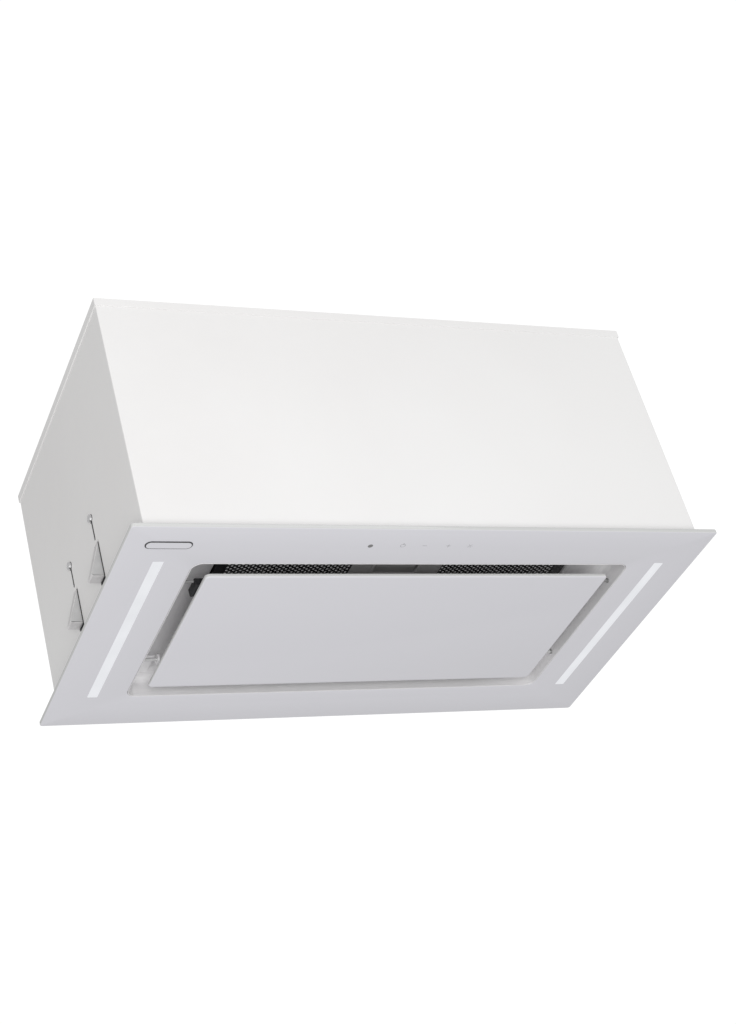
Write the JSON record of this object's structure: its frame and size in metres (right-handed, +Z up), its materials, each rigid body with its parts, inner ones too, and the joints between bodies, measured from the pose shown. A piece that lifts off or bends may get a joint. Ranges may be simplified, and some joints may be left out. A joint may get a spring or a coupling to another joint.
{
  "type": "built-in cooker hood",
  "caption": "Built-in cooker hood: white steel box on a white glass flange with light strips, a hinged perimeter-suction plate, grease filter, blower, duct collar and side spring clips.",
  "frame": {"origin": "centre of the cabinet cut-out, on the plane of the glass flange's upper face", "axes": "+X along the hood's width to its right as seen from the front, +Y to the wall behind, +Z up into the cabinet"},
  "size_m": [0.7, 0.393, 0.36],
  "materials": {
    "white_coat": "fine-textured white powder coat",
    "white_glass": "toughened glass, painted white on the back, so opaque",
    "led_diffuser": "opal diffuser, lit",
    "stainless": "satin stainless",
    "galvanised": "galvanised sheet",
    "bright_steel": "zinc-plated, bright",
    "aluminium": "bare aluminium",
    "black_coat": "black coat on perforated sheet",
    "black_plastic": "moulded, fine texture",
    "grey_plastic": "moulded, flame-retardant",
    "board": "circuit board"
  },
  "bodies": {
    "casing": {"casing_wrap": "white_coat", "back_panel": "white_coat", "top_cover": "white_coat", "terminal_block": "white_coat", "led_driver": "white_coat", "glass_panel": "white_glass", "led_diffuser_left": "led_diffuser", "led_diffuser_right": "led_diffuser", "led_strip_left": "led_diffuser", "led_strip_right": "led_diffuser", "recess_tray": "stainless", "hinge_bracket_left": "stainless", "hinge_bracket_right": "stainless", "motor_body": "galvanised", "motor_bracket": "galvanised", "blower_rail_left": "galvanised", "blower_rail_right": "galvanised", "pivot_pin_left": "bright_steel", "pivot_pin_right": "bright_steel", "latch_pin_left": "bright_steel", "latch_pin_right": "bright_steel", "flap_pin": "bright_steel", "clip_screw_left_front": "bright_steel", "clip_screw_left_rear": "bright_steel", "clip_screw_right_front": "bright_steel", "clip_screw_right_rear": "bright_steel", "lid_screw_1": "bright_steel", "lid_screw_2": "bright_steel", "lid_screw_3": "bright_steel", "lid_screw_4": "bright_steel", "led_profile_left": "aluminium", "led_profile_right": "aluminium", "filter_mesh": "aluminium", "filter_frame": "black_coat", "filter_face": "black_coat", "filter_cup": "black_plastic", "outlet_collar": "black_plastic", "cable_gland": "black_plastic", "blower_shell_left": "grey_plastic", "blower_shell_right": "grey_plastic", "capacitor": "grey_plastic", "control_box": "grey_plastic", "control_lid": "grey_plastic", "touch_board": "board", "control_board": "board"},
    "plate": {"suction_plate": "white_glass", "plate_carrier": "stainless", "plate_clip_left": "black_plastic", "plate_clip_right": "black_plastic"},
    "filter_latch_slider": {"filter_latch": "black_plastic"},
    "fan": {"impeller": "grey_plastic", "motor_shaft": "bright_steel"},
    "front_flap": {"flap_front": "black_plastic"},
    "rear_flap": {"flap_rear": "black_plastic"},
    "clip_left_front": {"side_clip_left_front": "galvanised"},
    "clip_left_rear": {"side_clip_left_rear": "galvanised"},
    "clip_right_front": {"side_clip_right_front": "galvanised"},
    "clip_right_rear": {"side_clip_right_rear": "galvanised"}
  },
  "joints": [
    {"name": "plate_hinge", "type": "hinge", "parent": "casing", "child": "plate", "pos_m": [0, 0.0733, 0.004], "axis": [1, 0, 0], "range_deg": [0, 30]},
    {"name": "filter_latch_slide", "type": "slide", "parent": "casing", "child": "filter_latch_slider", "axis": [0, 1, 0], "range_m": [0, 0.006], "stiffness_N_per_m": 250, "springref_m": -0.004},
    {"name": "fan_spin", "type": "hinge", "parent": "casing", "child": "fan", "pos_m": [0, -0.025, 0.16], "axis": [1, 0, 0], "continuous": true},
    {"name": "front_flap_hinge", "type": "hinge", "parent": "casing", "child": "front_flap", "pos_m": [0, 0.05, 0.324], "axis": [-1, 0, 0], "range_deg": [0, 80]},
    {"name": "rear_flap_hinge", "type": "hinge", "parent": "casing", "child": "rear_flap", "pos_m": [0, 0.05, 0.324], "axis": [1, 0, 0], "range_deg": [0, 80]},
    {"name": "clip_left_front_flex", "type": "hinge", "parent": "casing", "child": "clip_left_front", "pos_m": [-0.3304, -0.0417, 0.1], "axis": [0, -1, 0], "range_deg": [0, 13], "stiffness_Nm_per_rad": 3, "springref_deg": -3.44},
    {"name": "clip_left_rear_flex", "type": "hinge", "parent": "casing", "child": "clip_left_rear", "pos_m": [-0.3304, 0.0493, 0.1], "axis": [0, -1, 0], "range_deg": [0, 13], "stiffness_Nm_per_rad": 3, "springref_deg": -3.44},
    {"name": "clip_right_front_flex", "type": "hinge", "parent": "casing", "child": "clip_right_front", "pos_m": [0.3304, -0.0417, 0.1], "axis": [0, 1, 0], "range_deg": [0, 13], "stiffness_Nm_per_rad": 3, "springref_deg": -3.44},
    {"name": "clip_right_rear_flex", "type": "hinge", "parent": "casing", "child": "clip_right_rear", "pos_m": [0.3304, 0.0493, 0.1], "axis": [0, 1, 0], "range_deg": [0, 13], "stiffness_Nm_per_rad": 3, "springref_deg": -3.44}
  ]
}
